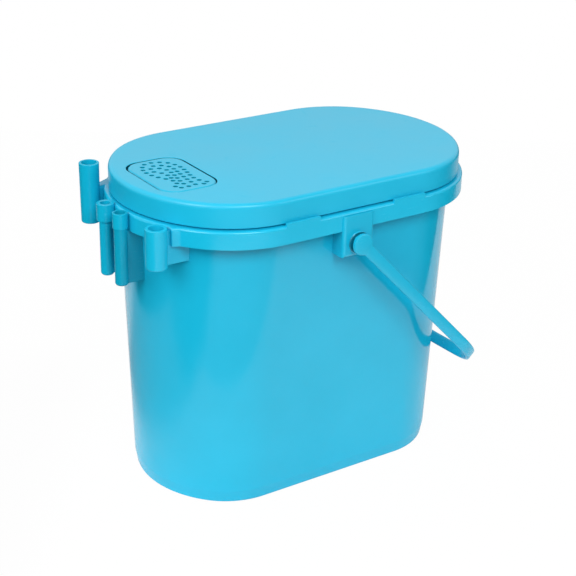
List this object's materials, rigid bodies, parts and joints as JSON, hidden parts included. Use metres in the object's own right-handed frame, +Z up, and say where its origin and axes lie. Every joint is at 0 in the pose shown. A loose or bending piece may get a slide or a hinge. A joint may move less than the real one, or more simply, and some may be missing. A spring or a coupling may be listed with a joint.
{
  "type": "bait bucket",
  "caption": "Oblong lidded bait bucket with a perforated vent hatch, a swinging bail handle and upright tool holder tubes on one end.",
  "frame": {"origin": "centre of the flat base, on the surface that the bucket stands on", "axes": "+Z up, X along the bucket's long axis with the holder tubes at the -X end, Y across it"},
  "size_m": [0.3358, 0.228, 0.279],
  "materials": {
    "tub_plastic": "gloss",
    "band_plastic": "satin",
    "lid_plastic": "satin",
    "bail_plastic": "satin",
    "hinge_steel": "brushed"
  },
  "bodies": {
    "bucket": {"tub": "tub_plastic", "rim_band": "band_plastic", "front_bail_lug": "tub_plastic", "rear_bail_lug": "tub_plastic", "tall_holder_tube": "tub_plastic", "short_holder_tube": "tub_plastic", "far_slim_tube": "tub_plastic", "near_slim_tube": "tub_plastic", "far_slim_collar": "band_plastic", "near_slim_collar": "band_plastic"},
    "lid": {"lid": "lid_plastic", "front_hatch_pin": "hinge_steel", "rear_hatch_pin": "hinge_steel"},
    "hatch": {"vent_hatch": "lid_plastic"},
    "bail": {"bail": "bail_plastic", "front_bail_pin": "bail_plastic", "rear_bail_pin": "bail_plastic"}
  },
  "joints": [
    {"name": "bail_swing", "type": "hinge", "parent": "bucket", "child": "bail", "pos_m": [0, 0, 0.2316], "axis": [0, -1, 0], "range_deg": [0, 271]},
    {"name": "lid_lift", "type": "slide", "parent": "bucket", "child": "lid", "axis": [0, 0, 1], "range_m": [0, 0.08]},
    {"name": "hatch_hinge", "type": "hinge", "parent": "lid", "child": "hatch", "pos_m": [-0.1019, -0.0037, 0.2772], "axis": [0, 1, 0], "range_deg": [0, 100]}
  ]
}
